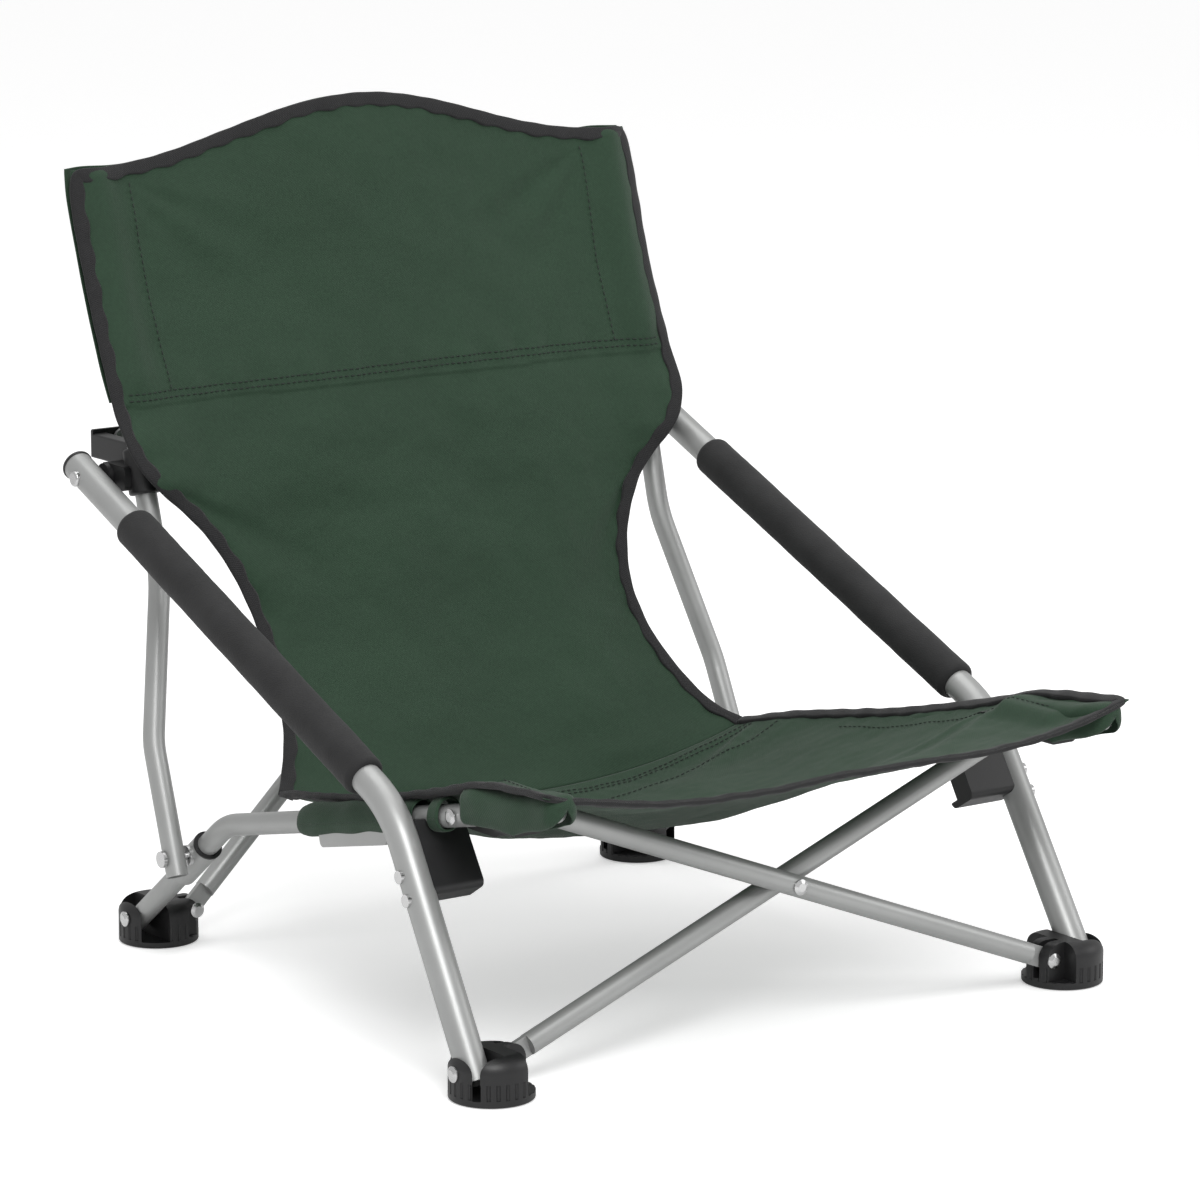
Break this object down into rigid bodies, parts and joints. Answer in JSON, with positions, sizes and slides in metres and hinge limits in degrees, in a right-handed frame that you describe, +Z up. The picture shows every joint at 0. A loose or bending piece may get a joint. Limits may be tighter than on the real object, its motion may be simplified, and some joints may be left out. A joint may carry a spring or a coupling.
{
  "type": "folding camp chair",
  "caption": "Low folding camp chair: tubular frame with crossed legs front and rear, foam armrests, moulded feet and a bound fabric seat and back sling.",
  "frame": {"origin": "on the floor, under the centre of the open chair's box", "axes": "+Z up, +Y towards the back of the chair, +X towards the right of the picture. A node named left is at -X, the left as seen from the front; for someone sitting in the chair that is their right"},
  "size_m": [0.5616, 0.6118, 0.605],
  "materials": {
    "tube_aluminium": "satin",
    "black_plastic": "fine moulded texture",
    "rivet_steel": "bright",
    "foam": "closed-cell foam, matte",
    "seat_fabric": "woven polyester",
    "back_fabric": "woven polyester"
  },
  "bodies": {
    "front_left_foot": {"foot_front_left": "black_plastic", "leg_foot_rivet_left": "rivet_steel", "front_cross_foot_rivet_left": "rivet_steel"},
    "front_cross_left": {"front_cross_tube_left": "tube_aluminium", "front_cross_rivet": "rivet_steel"},
    "front_cross_right": {"front_cross_tube_right": "tube_aluminium"},
    "front_right_foot": {"foot_front_right": "black_plastic", "leg_foot_rivet_right": "rivet_steel", "front_cross_foot_rivet_right": "rivet_steel"},
    "rear_cross_left": {"rear_cross_tube_left": "tube_aluminium", "rear_cross_rivet": "rivet_steel"},
    "rear_cross_right": {"rear_cross_tube_right": "tube_aluminium"},
    "arm_left": {"arm_leg_tube_left": "tube_aluminium", "arm_end_cap_left": "black_plastic", "armrest_foam_left": "foam", "arm_end_rivet_left": "rivet_steel", "rail_saddle_left": "black_plastic", "saddle_rivets_left": "rivet_steel"},
    "corner_left": {"seat_corner_joint_left": "black_plastic", "corner_rail_rivet_left": "rivet_steel", "front_cross_top_rivet_left": "rivet_steel", "rail_nose_left": "tube_aluminium"},
    "rail_left": {"side_rail_tube_left": "tube_aluminium", "rail_ferrule_left": "tube_aluminium", "ferrule_ring_left": "black_plastic", "rail_channel_left": "tube_aluminium", "upright_pivot_rivet_left": "rivet_steel", "seat_sling": "seat_fabric"},
    "rear_left_foot": {"foot_rear_left": "black_plastic", "rail_foot_rivet_left": "rivet_steel", "rear_cross_foot_rivet_left": "rivet_steel"},
    "upright_left": {"back_upright_left": "tube_aluminium", "upright_cap_left": "black_plastic", "back_sling": "back_fabric"},
    "slider_left": {"arm_slider_left": "black_plastic", "slider_rivet_left": "rivet_steel"},
    "arm_right": {"arm_leg_tube_right": "tube_aluminium", "arm_end_cap_right": "black_plastic", "armrest_foam_right": "foam", "arm_end_rivet_right": "rivet_steel", "rail_saddle_right": "black_plastic", "saddle_rivets_right": "rivet_steel"},
    "corner_right": {"seat_corner_joint_right": "black_plastic", "corner_rail_rivet_right": "rivet_steel", "front_cross_top_rivet_right": "rivet_steel", "rail_nose_right": "tube_aluminium"},
    "rail_right": {"side_rail_tube_right": "tube_aluminium", "rail_ferrule_right": "tube_aluminium", "ferrule_ring_right": "black_plastic", "rail_channel_right": "tube_aluminium", "upright_pivot_rivet_right": "rivet_steel"},
    "rear_right_foot": {"foot_rear_right": "black_plastic", "rail_foot_rivet_right": "rivet_steel", "rear_cross_foot_rivet_right": "rivet_steel"},
    "upright_right": {"back_upright_right": "tube_aluminium", "upright_cap_right": "black_plastic"},
    "slider_right": {"arm_slider_right": "black_plastic", "slider_rivet_right": "rivet_steel"}
  },
  "joints": [
    {"name": "fold", "type": "hinge", "parent": "front_left_foot", "child": "front_cross_left", "pos_m": [-0.2285, -0.22745, 0.0205], "axis": [0, -1, 0], "range_deg": [0, 57.5], "deforming": ["seat_sling", "back_sling"]},
    {"name": "front_cross_pivot", "type": "hinge", "parent": "front_cross_left", "child": "front_cross_right", "pos_m": [0, -0.2357, 0.109], "axis": [0, 1, 0], "range_deg": [0, 115]},
    {"name": "front_right_foot_pivot", "type": "hinge", "parent": "front_cross_right", "child": "front_right_foot", "pos_m": [0.2285, -0.24395, 0.0205], "axis": [0, -1, 0], "range_deg": [0, 57.5]},
    {"name": "arm_left_pivot", "type": "hinge", "parent": "front_left_foot", "child": "arm_left", "pos_m": [-0.263, -0.23695, 0.02], "axis": [1, 0, 0], "range_deg": [0, 30]},
    {"name": "arm_right_pivot", "type": "hinge", "parent": "front_right_foot", "child": "arm_right", "pos_m": [0.263, -0.23695, 0.02], "axis": [1, 0, 0], "range_deg": [0, 30]},
    {"name": "corner_left_pivot", "type": "hinge", "parent": "front_cross_right", "child": "corner_left", "pos_m": [-0.2285, -0.24395, 0.1975], "axis": [0, -1, 0], "range_deg": [0, 57.5]},
    {"name": "corner_right_pivot", "type": "hinge", "parent": "front_cross_left", "child": "corner_right", "pos_m": [0.2285, -0.22745, 0.1975], "axis": [0, 1, 0], "range_deg": [0, 57.5]},
    {"name": "rail_left_pivot", "type": "hinge", "parent": "corner_left", "child": "rail_left", "pos_m": [-0.235, -0.18395, 0.1798], "axis": [-1, 0, 0], "range_deg": [0, 67]},
    {"name": "rear_left_foot_pivot", "type": "hinge", "parent": "rail_left", "child": "rear_left_foot", "pos_m": [-0.235, 0.23645, 0.02], "axis": [1, 0, 0], "range_deg": [0, 67]},
    {"name": "upright_left_pivot", "type": "hinge", "parent": "rail_left", "child": "upright_left", "pos_m": [-0.255, 0.15205, 0.085], "axis": [1, 0, 0], "range_deg": [0, 60]},
    {"name": "arm_slide_left", "type": "slide", "parent": "upright_left", "child": "slider_left", "axis": [-0.0136, 0.2652, 0.9641], "range_m": [0, 0.174]},
    {"name": "rail_right_pivot", "type": "hinge", "parent": "corner_right", "child": "rail_right", "pos_m": [0.235, -0.18395, 0.1798], "axis": [-1, 0, 0], "range_deg": [0, 67]},
    {"name": "rear_right_foot_pivot", "type": "hinge", "parent": "rail_right", "child": "rear_right_foot", "pos_m": [0.235, 0.23645, 0.02], "axis": [1, 0, 0], "range_deg": [0, 67]},
    {"name": "upright_right_pivot", "type": "hinge", "parent": "rail_right", "child": "upright_right", "pos_m": [0.255, 0.15205, 0.085], "axis": [1, 0, 0], "range_deg": [0, 60]},
    {"name": "arm_slide_right", "type": "slide", "parent": "upright_right", "child": "slider_right", "axis": [0.0136, 0.2652, 0.9641], "range_m": [0, 0.174]},
    {"name": "rear_cross_left_pivot", "type": "hinge", "parent": "rear_left_foot", "child": "rear_cross_left", "pos_m": [-0.2, 0.22405, 0.024], "axis": [0, -1, 0], "range_deg": [0, 45.2]},
    {"name": "rear_cross_right_pivot", "type": "hinge", "parent": "rear_right_foot", "child": "rear_cross_right", "pos_m": [0.2, 0.24155, 0.024], "axis": [0, 1, 0], "range_deg": [0, 45.2]}
  ],
  "couplings": [
    {"joint": "front_cross_pivot", "follows": "fold", "ratio": 2},
    {"joint": "front_right_foot_pivot", "follows": "fold", "ratio": 1},
    {"joint": "arm_left_pivot", "follows": "fold", "ratio": 0.52174},
    {"joint": "arm_right_pivot", "follows": "fold", "ratio": 0.52174},
    {"joint": "corner_left_pivot", "follows": "fold", "ratio": 1},
    {"joint": "corner_right_pivot", "follows": "fold", "ratio": 1},
    {"joint": "rail_left_pivot", "follows": "fold", "ratio": 1.1652},
    {"joint": "rear_left_foot_pivot", "follows": "fold", "ratio": 1.1652},
    {"joint": "upright_left_pivot", "follows": "fold", "ratio": 1.0435},
    {"joint": "arm_slide_left", "follows": "fold", "m_per_rad": 0.17338},
    {"joint": "rear_cross_left_pivot", "follows": "fold", "ratio": 0.78609},
    {"joint": "rail_right_pivot", "follows": "fold", "ratio": 1.1652},
    {"joint": "rear_right_foot_pivot", "follows": "fold", "ratio": 1.1652},
    {"joint": "upright_right_pivot", "follows": "fold", "ratio": 1.0435},
    {"joint": "arm_slide_right", "follows": "fold", "m_per_rad": 0.17338},
    {"joint": "rear_cross_right_pivot", "follows": "fold", "ratio": 0.78609}
  ]
}
